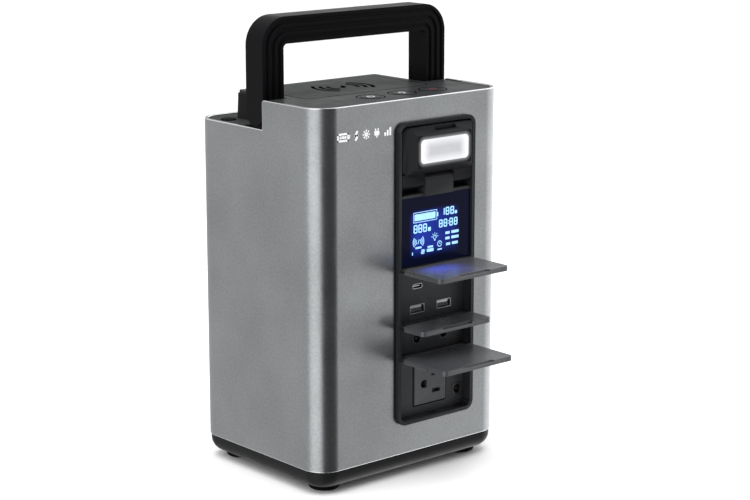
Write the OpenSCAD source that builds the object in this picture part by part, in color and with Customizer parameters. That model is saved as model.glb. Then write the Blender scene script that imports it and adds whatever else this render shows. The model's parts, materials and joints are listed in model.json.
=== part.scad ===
// Portable power station: aluminium sleeve, fold-back carrying handle, wireless charging top,
// and a front panel with a tilting lamp, a display and three hinged port doors.
// X runs to the right, Y to the rear, Z up. The origin is on the ground, under the middle.

/* [Body] */
// Width of the aluminium sleeve
body_w = 170; // [168:1:176]
// Depth of the aluminium sleeve
body_d = 137; // [136:1:142]
// Height of the aluminium sleeve
sleeve_h = 252; // [250:1:256]
// Wall thickness of the sleeve
wall = 2.5; // [2:0.1:2.6]
// Radius of the four vertical corners
corner_r = 17; // [14:0.5:18]
// Height of the moulded bottom cover
base_h = 13; // [12:0.5:14]
// Height of the rubber feet
foot_h = 4; // [3:0.5:5]
// Radius of the rubber feet
foot_r = 11; // [10:0.5:11.5]

/* [Handle] */
// Height from the ground to the top of the raised handle
handle_top = 324; // [322:1:325]
// Width across the outside of the handle
handle_w = 167; // [167:0.5:169]
// Width of each leg, seen from the front
leg_w = 18.4; // [17:0.1:18.4]
// Thickness of the handle, front to rear
leg_t = 18.8; // [18:0.1:19.2]
// Height of the grip bar
grip_h = 18.8; // [18:0.1:18.8]
// Height that the rear deck lies below the top
deck_drop = 20.3; // [20.3:0.1:21]
// Distance from the front face to the step behind the top
step_depth = 60; // [58:0.5:60]

/* [Front panel] */
// Width of the panel's bezel
bezel_w = 71.5; // [70:0.5:72]
// Height of the panel's bezel
bezel_h = 214.5; // [214.5:0.5:216]
// Sideways offset of the panel from the middle
panel_x = 19.5; // [17:0.25:21]
// Width of the bezel's raised ring
ring_w = 2.75; // [2.5:0.25:3]
// Length of the USB door from its hinge
usb_door_l = 38.8; // [34:0.1:38.8]
// Length of the 12 V door from its hinge
dc_door_l = 21.8; // [18:0.1:21.8]
// Length of the mains door from its hinge
ac_door_l = 44; // [40:0.1:45]
// Thickness of each door
door_t = 3.5; // [3:0.1:3.5]

/* [Top] */
// Radius of the round buttons
button_r = 7.2; // [6.5:0.1:8.5]
// Travel of the round buttons
button_travel = 0.8; // [0.5:0.1:0.8]
// Width of the wireless charging pad
pad_w = 113; // [100:1:114]
// Depth of the wireless charging pad
pad_d = 62.5; // [55:0.5:63]

/* [Inside] */
// Radius of a battery cell
cell_r = 9.1; // [8.8:0.1:9.2]
// Length of a battery cell
cell_l = 65; // [64:0.5:65.5]
// Size of the cooling fan's square frame
fan_size = 60; // [58:1:62]

/* [Hidden] */
$fn = 64;

fit = 0.3;             // gap between parts that sit inside each other
slip = 0.05;           // radial clearance of a running pin
eps = 0.5;             // how far a cutter runs past a face

// Front panel, depths measured from the sleeve's front face
bezel_proud = 2.7;     // bezel's ring stands this far out
closed_proud = 4;      // a closed door's outer face stands this far out
hinge_in = 1.2;        // hinge axis, inward from the closed door's outer face
floor_in = 5;          // depth of the port panel's face
panel_t = 2.5;         // thickness of the port panel
pocket_in = 8;         // depth of the lamp's pocket
bezel_r = 7;           // outer corner radius of the bezel
tub_w = 1.45;          // wall of the tub behind the bezel's ring

// The open doors reach further forward than anything else, and set the middle in Y
hinge_out = closed_proud - hinge_in;
total_d = body_d + hinge_out + ac_door_l;
rear_y = total_d / 2;
front_y = rear_y - body_d;
mid_y = (front_y + rear_y) / 2;
hinge_y = front_y - hinge_out;
ring_y = front_y - bezel_proud;
floor_y = front_y + floor_in;
pocket_y = front_y + pocket_in;

// Levels
sleeve_z = foot_h + base_h;
top_z = sleeve_z + sleeve_h;
deck_z = top_z - deck_drop;
step_y = front_y + step_depth;
step_r = 2.5;
rim_drop = 0.8;        // top plate below the sleeve's rim
plate_t = 2;
plate_z = top_z - rim_drop - plate_t;
cover_z = deck_z - 0.5 - plate_t;
frame_floor_t = 2.5;
frame_wall = 2.5;

// Handle
leg_gap = 0.9;         // gap between the leg's round end and the deck's rim
step_gap = 0.4;        // gap between the raised leg and the step
handle_r = 20;         // outer corner radius of the handle
handle_inner_r = 3;
pivot_y = step_y + step_gap + leg_t / 2;
pivot_z = deck_z + leg_gap + leg_t / 2;
bumper_x = 74;
bumper_y = mid_y + 44;
bumper_r = 5.5;
bumper_h = 0.9;
ridge_w = 2.5;         // ridges and grooves along the handle's front face
groove_w = 2.8;
groove_d = 1.2;
pin_r = 4;
pin_end = 78;          // outer end of the pivot pin
pin_head_x = 50;       // inner end of the pin's head
pin_head_t = 3;
pin_head_r = 4.6;
boss_r = 6;            // boss in the tower's wall that holds the pin
washer_in = 62.8;
washer_out = 64.8;
washer_r = 6.5;

// Tower between the handle's legs; its walls lean inwards as they rise
tower_half = 63.4;
tower_rear = mid_y + 46.3;
tower_lean = 0.9;
tower_rear_lean = 0.5;
tower_r = 2.5;
tower_lap = 20;        // how far the tower's outline runs under the wide part

// Charging pad and buttons
pad_y = mid_y + 8.75;
pad_r = 5;
shelf_t = 2;
shelf_z = plate_z - shelf_t;
coil_r = 22;
coil_inner_r = 10;
coil_t = 2;
shield_t = 1.2;
button_y = mid_y - 41.6;
button_xs = [-16.1, 12.6, 41.4];
flange_r = 9.6;
flange_t = 1;
stem_r = 2;
board_t = 1.6;
front_floor_z = 253;
front_floor_t = 1.5;
button_board_z = front_floor_z + front_floor_t + 1.5;
switch_h = 3.4;
switch_w = 6;
switch_top = button_board_z + board_t + switch_h;

// Panel, heights above the sleeve's lower edge
panel_low = 21.5;
panel_z = sleeve_z + panel_low + bezel_h / 2;
usb_hinge_z = sleeve_z + 133;
dc_hinge_z = sleeve_z + 92.7;
ac_hinge_z = sleeve_z + 69.4;
inner_w = bezel_w - 2 * ring_w;
inner_h = bezel_h - 2 * ring_w;
inner_r = bezel_r - ring_w;
panel_bottom = panel_z - inner_h / 2;
panel_top = panel_z + inner_h / 2;
door_w = inner_w - 1.2;
door_below = door_t - hinge_in;
knuckle_r = hinge_in;
door_pin_r = 0.6;
door_r = 3;            // round corners of a door's free edge
lug_w = 4;
lug_gap = 0.3;
bar_t = 2.8;           // cross bars behind the door hinges
bar_in = 0.2;          // their face, inward from the sleeve's front
web_t = 1.6;

// Lamp
lamp_axis_z = sleeve_z + 193.5;
lamp_axis_y = front_y + 1.8;
lamp_knuckle_r = 4.5;
lamp_pin_r = 1.5;
lamp_low = sleeve_z + 198.7;
lamp_high = sleeve_z + 232.3;
lamp_face_low = sleeve_z + 204.7;
lamp_face_high = sleeve_z + 227.2;
lamp_face_w = 50;
lamp_top_out = 5.5;    // depth of the level part of the lamp's top, out from the sleeve
lamp_out = 10;         // lamp's front face, out from the sleeve's front
lamp_back_y = front_y + 6.5;
lamp_wall = 2;
lamp_corner_r = 5;
lens_w = 44;
lens_h = 16.4;
lens_t = 2;
lens_r = 3;
lens_z = (lamp_face_low + lamp_face_high) / 2;
lug_left = -11.6;
lug_right = 15.2;
notch_w = 20;
notch_shift = 3;
ledge_low = sleeve_z + 183;
ledge_t = 2;

// Display
lcd_in = -1;           // front face of the window (negative stands out)
lcd_low = sleeve_z + 135;
lcd_high = ledge_low - 0.2;
lcd_t = 2;

// Ports
usb_pitch = 12.6;
ports_x = panel_x + 1;
usb_a_z = sleeve_z + 101.6;
usb_c_z = sleeve_z + 118;
usb_a_w = 13.6;
usb_a_h = 6.2;
usb_c_w = 9.4;
usb_c_h = 3.6;
shell_t = 0.45;
usb_depth = 12.5;
port_out = 0.2;        // how far a port's lip stands out of the panel
dc_z = sleeve_z + 80;
jack_r = 4.5;
jack_bore_r = 3.2;
jack_pin_r = 1.05;
jack_depth = 12;
outlet_x = 19.9;
outlet_z = sleeve_z + 45.7;
outlet_w = 30;
outlet_h = 29;
outlet_depth = 22;
slot_gap = 12.7;       // between the two blade slots
ground_gap = 11.9;     // from the blade slots to the earth hole
slot_depth = 16;
input_x = 46.8;
input_z = sleeve_z + 36;
input_w = 9.4;

// Inside
post_w = 8;
post_x = 72;
post_front_y = mid_y - 54;
post_rear_y = mid_y + 56;
tray_floor = 3;
shelf_low_z = sleeve_z;
low_shelf_t = 2;
mid_shelf_z = 98;
cell_cols = 7;
cell_rows = 4;
cell_pitch = 20.2;
cell_y = mid_y + 8;
holder_h = 6;
holder_rim = 3;
holder_low_z = shelf_low_z + low_shelf_t;
cell_z = holder_low_z + 2;
holder_up_z = cell_z + cell_l - 4;
bms_z = holder_up_z + holder_h + 2;
inverter_z = mid_shelf_z + low_shelf_t + 6;
sink_h = 40;
fan_t = 15;
fan_z = 200;
fan_y = rear_y - wall - fan_t - 0.5;
fan_bore_r = 28.5;
fan_hub_r = 11.5;
fan_shaft_r = 1.5;
blade_count = 7;
grille_w = 62;
foot_x = body_w / 2 - 21;
foot_y = body_d / 2 - 21;
screw_r = 2;
base_inset = 0.8;      // bottom cover's outline inside the sleeve's
base_fillet = 10;      // radius of its lower edge

// ---------------------------------------------------------------- shared shapes

// A rectangle with round corners, centred.
module rounded_rect(w, h, r) {
    square([w - 2 * r, h], center = true);
    square([w, h - 2 * r], center = true);
    for (sx = [-1, 1], sy = [-1, 1])
        translate([sx * (w / 2 - r), sy * (h / 2 - r)]) circle(r);
}

// A block between two corners.
module block(low, high) {
    translate(low) cube(high - low);
}

// A drawing of X and Z, given thickness from y_low to y_high.
module slab_y(y_low, y_high) {
    translate([0, y_high, 0]) rotate([90, 0, 0]) linear_extrude(y_high - y_low) children();
}

// A drawing of X and Y, given thickness from z_low to z_high.
module slab_z(z_low, z_high) {
    translate([0, 0, z_low]) linear_extrude(z_high - z_low) children();
}

// A drawing of Y and Z, given thickness from x_low to x_high.
module slab_x(x_low, x_high) {
    translate([x_low, 0, 0]) rotate([90, 0, 90]) linear_extrude(x_high - x_low) children();
}

// A rod along X.
module rod_x(x_low, x_high, r) {
    translate([x_low, 0, 0]) rotate([0, 90, 0]) cylinder(h = x_high - x_low, r = r);
}

// A rod along Y.
module rod_y(y_low, y_high, r) {
    translate([0, y_high, 0]) rotate([90, 0, 0]) cylinder(h = y_high - y_low, r = r);
}

// The sleeve's outline seen from above, drawn in by inset.
module sleeve_plan(inset) {
    translate([0, mid_y])
        rounded_rect(body_w - 2 * inset, body_d - 2 * inset, corner_r - inset);
}

// The panel's outline seen from the front, drawn in by inset.
module panel_outline(inset) {
    translate([panel_x, panel_z])
        rounded_rect(bezel_w - 2 * inset, bezel_h - 2 * inset, bezel_r - inset);
}

// The top's outline: the full width ahead of the step, and the tower behind it.
module top_outline(inset) {
    intersection() {
        sleeve_plan(wall + fit + inset);
        translate([-body_w / 2, front_y]) square([body_w, step_depth - fit - inset]);
    }
    translate([0, (step_y - tower_lap + tower_rear - inset) / 2])
        rounded_rect(2 * (tower_half - inset), tower_rear - inset - step_y + tower_lap,
                     tower_r - inset);
}

// ---------------------------------------------------------------- housing

// Side view of the sleeve: full height ahead of the step, deck height behind it.
module sleeve_side() {
    translate([front_y, sleeve_z]) square([step_depth - step_r, sleeve_h]);
    translate([front_y, sleeve_z]) square([step_depth, sleeve_h - step_r]);
    translate([step_y - step_r, top_z - step_r]) circle(step_r);
    translate([front_y, sleeve_z]) square([body_d, deck_z - sleeve_z]);
}

module housing_sleeve() color([0.46, 0.48, 0.48]) difference() {
    intersection() {
        slab_z(sleeve_z, top_z) difference() {
            sleeve_plan(0);
            sleeve_plan(wall);
        }
        slab_x(-body_w / 2, body_w / 2) sleeve_side();
    }
    slab_y(front_y - eps, front_y + wall + eps) panel_outline(ring_w - tub_w - fit);
    slab_y(rear_y - wall - eps, rear_y + eps)
        translate([0, fan_z]) rounded_rect(grille_w + 2 * fit, grille_w + 2 * fit, 5);
}

// Section of the bottom cover, hung below its upper edge.
module base_section(width) {
    intersection() {
        translate([-width / 2, -base_h]) square([width, base_h]);
        union() {
            translate([-width / 2, base_fillet - base_h]) square([width, base_h]);
            translate([base_fillet - width / 2, -base_h])
                square([width - 2 * base_fillet, base_h]);
            for (side = [-1, 1])
                translate([side * (width / 2 - base_fillet), base_fillet - base_h])
                    circle(base_fillet);
        }
    }
}

module base_block(w, d, r) {
    rotate([90, 0, 0]) linear_extrude(d - 2 * r, center = true) base_section(w);
    rotate([90, 0, 90]) linear_extrude(w - 2 * r, center = true) base_section(d);
    for (sx = [-1, 1], sy = [-1, 1])
        translate([sx * (w / 2 - r), sy * (d / 2 - r), 0])
            rotate_extrude() intersection() {
                base_section(2 * r);
                translate([0, -base_h]) square([r, base_h]);
            }
}

// One child at each of the four feet.
module at_feet() {
    for (sx = [-1, 1], sy = [-1, 1])
        translate([sx * foot_x, mid_y + sy * foot_y, 0]) children();
}

module bottom_cover() color([0.09, 0.09, 0.1]) difference() {
    union() {
        difference() {
            translate([0, mid_y, sleeve_z])
                base_block(body_w - 2 * base_inset, body_d - 2 * base_inset,
                           corner_r - base_inset);
            slab_z(foot_h + tray_floor, sleeve_z + eps) sleeve_plan(12);
        }
        slab_z(sleeve_z, sleeve_z + 4) difference() {
            sleeve_plan(wall + fit);
            sleeve_plan(wall + fit + 2);
        }
        slab_z(sleeve_z - 4, sleeve_z) difference() {
            sleeve_plan(wall + fit);
            sleeve_plan(12 + eps);
        }
        at_feet() translate([0, 0, foot_h]) cylinder(h = base_h, r = 5);
    }
    at_feet() translate([0, 0, foot_h - eps]) cylinder(h = base_h - 1, r = screw_r + slip);
    for (i = [-4:4])
        translate([i * 9, mid_y, foot_h + tray_floor / 2])
            cube([3, 50, tray_floor + eps], center = true);
}

// A rubber foot with a small bevel and a recess for its screw.
module foot(sx, sy) color([0.05, 0.05, 0.05])
    translate([sx * foot_x, mid_y + sy * foot_y, 0]) difference() {
        union() {
            cylinder(h = 1, r1 = foot_r - 1, r2 = foot_r);
            translate([0, 0, 1]) cylinder(h = foot_h - 1, r = foot_r);
        }
        translate([0, 0, -eps]) cylinder(h = foot_h + 2 * eps, r = screw_r + 0.2);
        translate([0, 0, -eps]) cylinder(h = 2 + eps, r = 4.2);
    }

module foot_screws() color([0.6, 0.6, 0.62]) at_feet() {
    translate([0, 0, 0.4]) cylinder(h = 1.6, r = 3.8);
    translate([0, 0, 1]) cylinder(h = foot_h + base_h - 3, r = screw_r);
}

// ---------------------------------------------------------------- top

// The tower's outside: a section across and a section along, crossed.
module leaning_tower() {
    low_z = cover_z - frame_floor_t;
    intersection() {
        slab_y(step_y - fit - 1, rear_y) polygon([
            [-tower_half - tower_lean, low_z], [tower_half + tower_lean, low_z],
            [tower_half, plate_z], [-tower_half, plate_z]]);
        slab_x(-body_w / 2, body_w / 2) polygon([
            [front_y, low_z], [tower_rear + tower_rear_lean, low_z],
            [tower_rear, plate_z], [front_y, plate_z]]);
    }
}

// Black moulding: the tower's walls, the deck's floor, and the seats of pad and buttons.
module top_frame() color([0.07, 0.07, 0.075]) difference() {
    union() {
        slab_z(front_floor_z, plate_z) difference() {
            top_outline(0);
            top_outline(frame_wall);
        }
        slab_z(cover_z - frame_floor_t, front_floor_z) difference() {
            top_outline(0);
            top_outline(frame_wall);
            translate([-body_w / 2, front_y])
                square([body_w, step_depth - fit - frame_wall]);
        }
        difference() {
            leaning_tower();
            slab_z(0, top_z) top_outline(frame_wall);
        }
        slab_z(cover_z - frame_floor_t, cover_z) difference() {
            sleeve_plan(wall + fit);
            translate([-body_w / 2, front_y]) square([body_w, step_depth - fit - eps]);
            top_outline(frame_wall);
        }
        slab_z(shelf_z, plate_z) difference() {
            translate([0, pad_y]) square([2 * tower_half - 2, pad_d + 9], center = true);
            translate([-body_w / 2, tower_rear - eps]) square([body_w, 20]);
        }
        slab_z(front_floor_z, front_floor_z + front_floor_t) intersection() {
            top_outline(frame_wall - eps);
            translate([-body_w / 2, front_y]) square([body_w, step_depth - 14]);
        }
        for (x = [-30, 24, 50], y = [-9, 9])
            translate([x, button_y + y, front_floor_z])
                cylinder(h = button_board_z - front_floor_z, r = 2.5);
        translate([0, pivot_y, pivot_z]) {
            rod_x(pin_head_x, washer_in, boss_r);
            rod_x(-washer_in, -pin_head_x, boss_r);
        }
    }
    translate([0, pivot_y, pivot_z]) {
        rod_x(pin_head_x - eps, washer_in + eps, pin_r + slip);
        rod_x(-washer_in - eps, eps - pin_head_x, pin_r + slip);
        rod_x(washer_in, washer_in + 3, washer_r + fit);
        rod_x(-washer_in - 3, -washer_in, washer_r + fit);
    }
}

// Dark plate that covers the front of the top and the tower.
module top_plate() color([0.25, 0.26, 0.27]) difference() {
    slab_z(plate_z, plate_z + plate_t) difference() {
        top_outline(0);
        translate([0, pad_y]) rounded_rect(pad_w, pad_d, pad_r);
    }
    for (x = button_xs)
        translate([x, button_y, plate_z - eps]) cylinder(h = plate_t + 2 * eps, r = button_r + fit);
}

module charging_pad() color([0.24, 0.25, 0.26])
    slab_z(plate_z, plate_z + plate_t)
        translate([0, pad_y]) rounded_rect(pad_w - 2 * fit, pad_d - 2 * fit, pad_r - fit);

module charging_coil() color([0.72, 0.42, 0.24])
    translate([0, pad_y, shelf_z - coil_t]) difference() {
        cylinder(h = coil_t, r = coil_r);
        translate([0, 0, -eps]) cylinder(h = coil_t + 2 * eps, r = coil_inner_r);
    }

module coil_shield() color([0.2, 0.2, 0.22])
    slab_z(shelf_z - coil_t - shield_t, shelf_z - coil_t)
        translate([0, pad_y]) rounded_rect(2 * coil_r + 4, 2 * coil_r + 4, 3);

// Grey cover of the U-shaped deck, open where the handle's legs stand.
module deck_cover() color([0.3, 0.31, 0.32])
    slab_z(cover_z, cover_z + plate_t) difference() {
        sleeve_plan(wall + fit);
        translate([-body_w / 2, front_y - eps])
            square([body_w, step_depth + leg_t + 9]);
        translate([-tower_half - tower_lean - fit, step_y])
            square([2 * (tower_half + tower_lean + fit),
                    tower_rear + tower_rear_lean + fit - step_y]);
    }

module deck_bumpers() color([0.03, 0.03, 0.03])
    for (side = [-1, 1])
        translate([side * bumper_x, bumper_y, cover_z + plate_t])
            cylinder(h = bumper_h, r = bumper_r);

// ---------------------------------------------------------------- handle

// The handle's outline seen from the front, drawn in by inset all round.
module handle_outline(inset) {
    half = handle_w / 2 - inset;
    outer_r = handle_r - inset;
    inner_half = handle_w / 2 - leg_w + inset;
    inner_top = handle_top - grip_h + inset;
    corner_r_in = handle_inner_r + inset;
    difference() {
        union() {
            translate([-half, pivot_z - leg_t])
                square([2 * half, handle_top - inset - outer_r - pivot_z + leg_t]);
            translate([outer_r - half, pivot_z])
                square([2 * (half - outer_r), handle_top - inset - pivot_z]);
            for (side = [-1, 1])
                translate([side * (half - outer_r), handle_top - inset - outer_r]) circle(outer_r);
        }
        translate([-inner_half, pivot_z - leg_t - eps])
            square([2 * inner_half, inner_top - corner_r_in - pivot_z + leg_t + eps]);
        translate([corner_r_in - inner_half, pivot_z])
            square([2 * (inner_half - corner_r_in), inner_top - pivot_z]);
        for (side = [-1, 1])
            translate([side * (inner_half - corner_r_in), inner_top - corner_r_in])
                circle(corner_r_in);
    }
}

module handle() color([0.06, 0.06, 0.065]) difference() {
    intersection() {
        slab_y(pivot_y - leg_t / 2, pivot_y + leg_t / 2) handle_outline(0);
        slab_x(-handle_w, handle_w) {
            translate([pivot_y, pivot_z]) circle(leg_t / 2);
            translate([pivot_y - leg_t / 2, pivot_z]) square([leg_t, handle_top]);
        }
    }
    for (i = [0:2])
        slab_y(pivot_y - leg_t / 2 - eps, pivot_y - leg_t / 2 + groove_d) difference() {
            handle_outline(ridge_w + (ridge_w + groove_w) * i);
            handle_outline((ridge_w + groove_w) * (i + 1));
        }
    translate([0, pivot_y, pivot_z]) {
        rod_x(-pin_end - eps, 0, pin_r + slip);
        rod_x(0, pin_end + eps, pin_r + slip);
    }
}

module handle_pins() color([0.66, 0.67, 0.69])
    translate([0, pivot_y, pivot_z]) {
        rod_x(pin_head_x, pin_end, pin_r);
        rod_x(pin_head_x - pin_head_t, pin_head_x, pin_head_r);
        rod_x(-pin_end, -pin_head_x, pin_r);
        rod_x(-pin_head_x, pin_head_t - pin_head_x, pin_head_r);
    }

module handle_washers() color([0.1, 0.1, 0.1])
    translate([0, pivot_y, pivot_z]) difference() {
        union() {
            rod_x(washer_in, washer_out, washer_r);
            rod_x(-washer_out, -washer_in, washer_r);
        }
        rod_x(-washer_out - eps, washer_out + eps, pin_r + 0.2);
    }

// ---------------------------------------------------------------- buttons

module button(x) color([0.16, 0.165, 0.17]) translate([x, button_y, 0]) {
    translate([0, 0, plate_z - fit]) cylinder(h = plate_t + fit + 0.3, r = button_r);
    translate([0, 0, plate_z - fit - flange_t]) cylinder(h = flange_t, r = flange_r);
    translate([0, 0, switch_top + button_travel + 0.1])
        cylinder(h = plate_z - fit - flange_t - switch_top - button_travel - 0.1, r = stem_r);
}

module button_switches() color([0.12, 0.12, 0.13]) for (x = button_xs)
    translate([x, button_y, button_board_z + board_t]) {
        translate([-switch_w / 2, -switch_w / 2, 0]) cube([switch_w, switch_w, switch_h - 1]);
        translate([0, 0, switch_h - 1]) cylinder(h = 1, r = 1.7);
    }

module button_board() color([0.05, 0.3, 0.15])
    slab_z(button_board_z, button_board_z + board_t)
        translate([10, button_y]) rounded_rect(92, 24, 2);

// ---------------------------------------------------------------- front panel

// Lugs on the tub's side walls that hold a door's hinge pin.
module door_lugs(axis_z) {
    for (side = [-1, 1])
        translate([panel_x + side * (inner_w / 2 - lug_w / 2), hinge_y, axis_z]) {
            rod_x(-lug_w / 2, lug_w / 2, knuckle_r);
            translate([-lug_w / 2, 0, -web_t / 2]) cube([lug_w, floor_y - hinge_y, web_t]);
        }
}

module door_axis_bore(axis_z) {
    translate([panel_x, hinge_y, axis_z])
        rod_x(-inner_w / 2 - 0.2, inner_w / 2 + 0.2, door_pin_r + slip);
}

// A bar across the tub.
module cross_bar(y_front, z_low, z_high) {
    block([panel_x - inner_w / 2 - eps, y_front, z_low],
          [panel_x + inner_w / 2 + eps, floor_y, z_high]);
}

module front_bezel() color([0.1, 0.1, 0.105]) difference() {
    union() {
        slab_y(ring_y, front_y) difference() {
            panel_outline(0);
            panel_outline(ring_w);
        }
        slab_y(front_y, pocket_y + tub_w) difference() {
            panel_outline(ring_w - tub_w);
            panel_outline(ring_w);
        }
        slab_y(pocket_y, pocket_y + tub_w) intersection() {
            panel_outline(ring_w - tub_w);
            translate([-body_w / 2, ledge_low]) square([body_w, sleeve_h]);
        }
        block([panel_x - inner_w / 2 - eps, front_y - 1, ledge_low],
              [panel_x + inner_w / 2 + eps, pocket_y + eps, ledge_low + ledge_t]);
        for (axis_z = [usb_hinge_z, dc_hinge_z, ac_hinge_z]) {
            cross_bar(front_y + bar_in, axis_z - 1.4, axis_z - 1.4 + bar_t);
            door_lugs(axis_z);
        }
        translate([panel_x, lamp_axis_y, lamp_axis_z]) {
            rod_x(lug_left + fit, lug_right - fit, lamp_knuckle_r);
            block([lug_left + fit, -lamp_knuckle_r, ledge_low - lamp_axis_z],
                  [lug_right - fit, lamp_knuckle_r, 0]);
            for (side = [-1, 1])
                translate([side * (inner_w / 2 - 0.1), 0, 0])
                    rod_x(side < 0 ? -0.4 : -0.2, side < 0 ? 0.2 : 0.4, lamp_pin_r + 1.2);
        }
    }
    for (axis_z = [usb_hinge_z, dc_hinge_z, ac_hinge_z])
        door_axis_bore(axis_z);
    translate([panel_x, lamp_axis_y, lamp_axis_z])
        rod_x(-inner_w / 2 - 0.2, inner_w / 2 + 0.2, lamp_pin_r + slip);
    translate([panel_x - 4, floor_y - 4, panel_bottom - 1.2]) cube([8, 3, 3]);
}

module door_pin(axis_z) color([0.66, 0.67, 0.69])
    translate([panel_x, hinge_y, axis_z]) rod_x(-inner_w / 2, inner_w / 2, door_pin_r);

// Cut-outs of the ports in the port panel.
module port_cuts() {
    for (side = [-1, 1]) {
        translate([ports_x + side * usb_pitch, usb_a_z])
            rounded_rect(usb_a_w + fit, usb_a_h + fit, 0.8);
        translate([ports_x + side * usb_pitch, usb_c_z])
            rounded_rect(usb_c_w + fit, usb_c_h + fit, (usb_c_h + fit) / 2 - 0.01);
        translate([ports_x + side * usb_pitch, dc_z]) circle(jack_r + fit / 2);
    }
    translate([outlet_x, outlet_z]) rounded_rect(outlet_w + 2, outlet_h + 2, 1.5);
    translate([input_x, input_z]) rounded_rect(input_w + fit, input_w + fit, 1);
}

module port_panel() color([0.12, 0.125, 0.13])
    slab_y(floor_y, floor_y + panel_t) difference() {
        intersection() {
            panel_outline(ring_w + 0.1);
            translate([-body_w / 2, 0]) square([body_w, lcd_low - 1]);
        }
        port_cuts();
    }

// A door, open and level: a plate with a hinge barrel and a finger recess.
module door(axis_z, reach) color([0.17, 0.175, 0.18]) difference() {
    union() {
        slab_z(axis_z - door_below, axis_z + hinge_in) {
            translate([panel_x - door_w / 2, hinge_y - reach + door_r])
                square([door_w, reach - door_r]);
            translate([panel_x - door_w / 2 + door_r, hinge_y - reach])
                square([door_w - 2 * door_r, reach]);
            for (side = [-1, 1])
                translate([panel_x + side * (door_w / 2 - door_r), hinge_y - reach + door_r])
                    circle(door_r);
        }
        translate([panel_x, hinge_y, axis_z])
            rod_x(-inner_w / 2 + lug_w + lug_gap, inner_w / 2 - lug_w - lug_gap, knuckle_r);
    }
    for (side = [-1, 1])
        translate([panel_x + side * inner_w / 2, hinge_y, axis_z])
            cube([2 * (lug_w + lug_gap), 4, 3 * door_t], center = true);
    translate([panel_x, hinge_y, axis_z]) rod_x(-inner_w, inner_w, door_pin_r + slip);
    translate([panel_x, hinge_y - reach, axis_z + hinge_in])
        cube([28, 5, 2.4], center = true);
}

// Truncated pyramid of the lamp: a section across and a section up, crossed.
module lamp_body(shrink) {
    back_half = door_w / 2 - shrink;
    face_half = lamp_face_w / 2 - shrink;
    low = lamp_low + shrink;
    high = lamp_high - shrink;
    y_face = front_y - lamp_out + shrink;
    intersection() {
        slab_z(low, high) translate([panel_x, 0]) polygon([
            [-back_half, lamp_back_y - shrink], [-back_half, ring_y], [-face_half, y_face],
            [face_half, y_face], [back_half, ring_y], [back_half, lamp_back_y - shrink]]);
        slab_x(panel_x - back_half, panel_x + back_half) polygon([
            [lamp_back_y - shrink, low], [ring_y, low], [y_face, lamp_face_low + shrink],
            [y_face, lamp_face_high - shrink], [front_y - lamp_top_out + shrink, high],
            [lamp_back_y - shrink, high]]);
        slab_y(y_face - eps, lamp_back_y) translate([panel_x, (low + high) / 2])
            rounded_rect(2 * back_half, high - low, lamp_corner_r - shrink);
    }
}

module lamp_housing() color([0.11, 0.11, 0.115]) difference() {
    union() {
        lamp_body(0);
        translate([panel_x, lamp_axis_y, lamp_axis_z]) for (side = [-1, 1]) {
            low = side < 0 ? -door_w / 2 : lug_right;
            high = side < 0 ? lug_left : door_w / 2;
            rod_x(low, high, lamp_knuckle_r);
            block([low, -lamp_knuckle_r, 0], [high, lamp_knuckle_r, lamp_low - lamp_axis_z + 1]);
        }
    }
    lamp_body(lamp_wall);
    slab_y(front_y - lamp_out - eps, front_y - lamp_out + lamp_wall + eps)
        translate([panel_x, lens_z]) rounded_rect(lens_w + 0.1, lens_h + 0.1, lens_r);
    translate([panel_x, lamp_axis_y, lamp_axis_z])
        rod_x(-inner_w, inner_w, lamp_pin_r + slip);
    slab_y(front_y - lamp_out + 0.8, front_y - lamp_top_out + 0.1)
        translate([panel_x + notch_shift, lamp_high - 0.6]) rounded_rect(notch_w, 5, 1.4);
}

module lamp_lens() color([0.95, 0.96, 1.0])
    slab_y(front_y - lamp_out - 0.2, front_y - lamp_out + lens_t)
        translate([panel_x, lens_z]) rounded_rect(lens_w, lens_h, lens_r);

module lamp_led_board() color([0.9, 0.9, 0.85]) {
    slab_y(front_y - 3, front_y - 1.4)
        translate([panel_x, lens_z]) rounded_rect(lens_w, lens_h, 1);
    for (i = [-2.5:2.5])
        block([panel_x + i * 7 - 1.7, front_y - 3.9, lens_z - 1.7],
              [panel_x + i * 7 + 1.7, front_y - 3, lens_z + 1.7]);
    for (side = [-1, 1])
        block([panel_x + side * 18 - 2, front_y - 1.4, lens_z - 2],
              [panel_x + side * 18 + 2, lamp_back_y - lamp_wall, lens_z + 2]);
}

module lamp_pin() color([0.66, 0.67, 0.69])
    translate([panel_x, lamp_axis_y, lamp_axis_z]) rod_x(-inner_w / 2, inner_w / 2, lamp_pin_r);

// ---------------------------------------------------------------- display

module lcd_window() color([0.02, 0.02, 0.12])
    block([panel_x - inner_w / 2 + 0.1, front_y + lcd_in, lcd_low],
          [panel_x + inner_w / 2 - 0.1, front_y + lcd_in + lcd_t, lcd_high]);

module lcd_module() color([0.1, 0.15, 0.7])
    block([panel_x - 27, front_y + lcd_in + lcd_t, lcd_low + 3],
          [panel_x + 27, front_y + lcd_in + lcd_t + 4, lcd_high - 2]);

module display_board() color([0.05, 0.3, 0.15]) {
    slab_y(floor_y + 5, floor_y + 5 + board_t)
        translate([panel_x, (lcd_low + lcd_high) / 2]) rounded_rect(60, 46, 2);
    for (sx = [-1, 1], sz = [-1, 1])
        translate([panel_x + sx * 24, 0, (lcd_low + lcd_high) / 2 + sz * 18])
            rod_y(front_y + lcd_in + lcd_t + 4, floor_y + 5, 1.5);
}

// ---------------------------------------------------------------- ports

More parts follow.
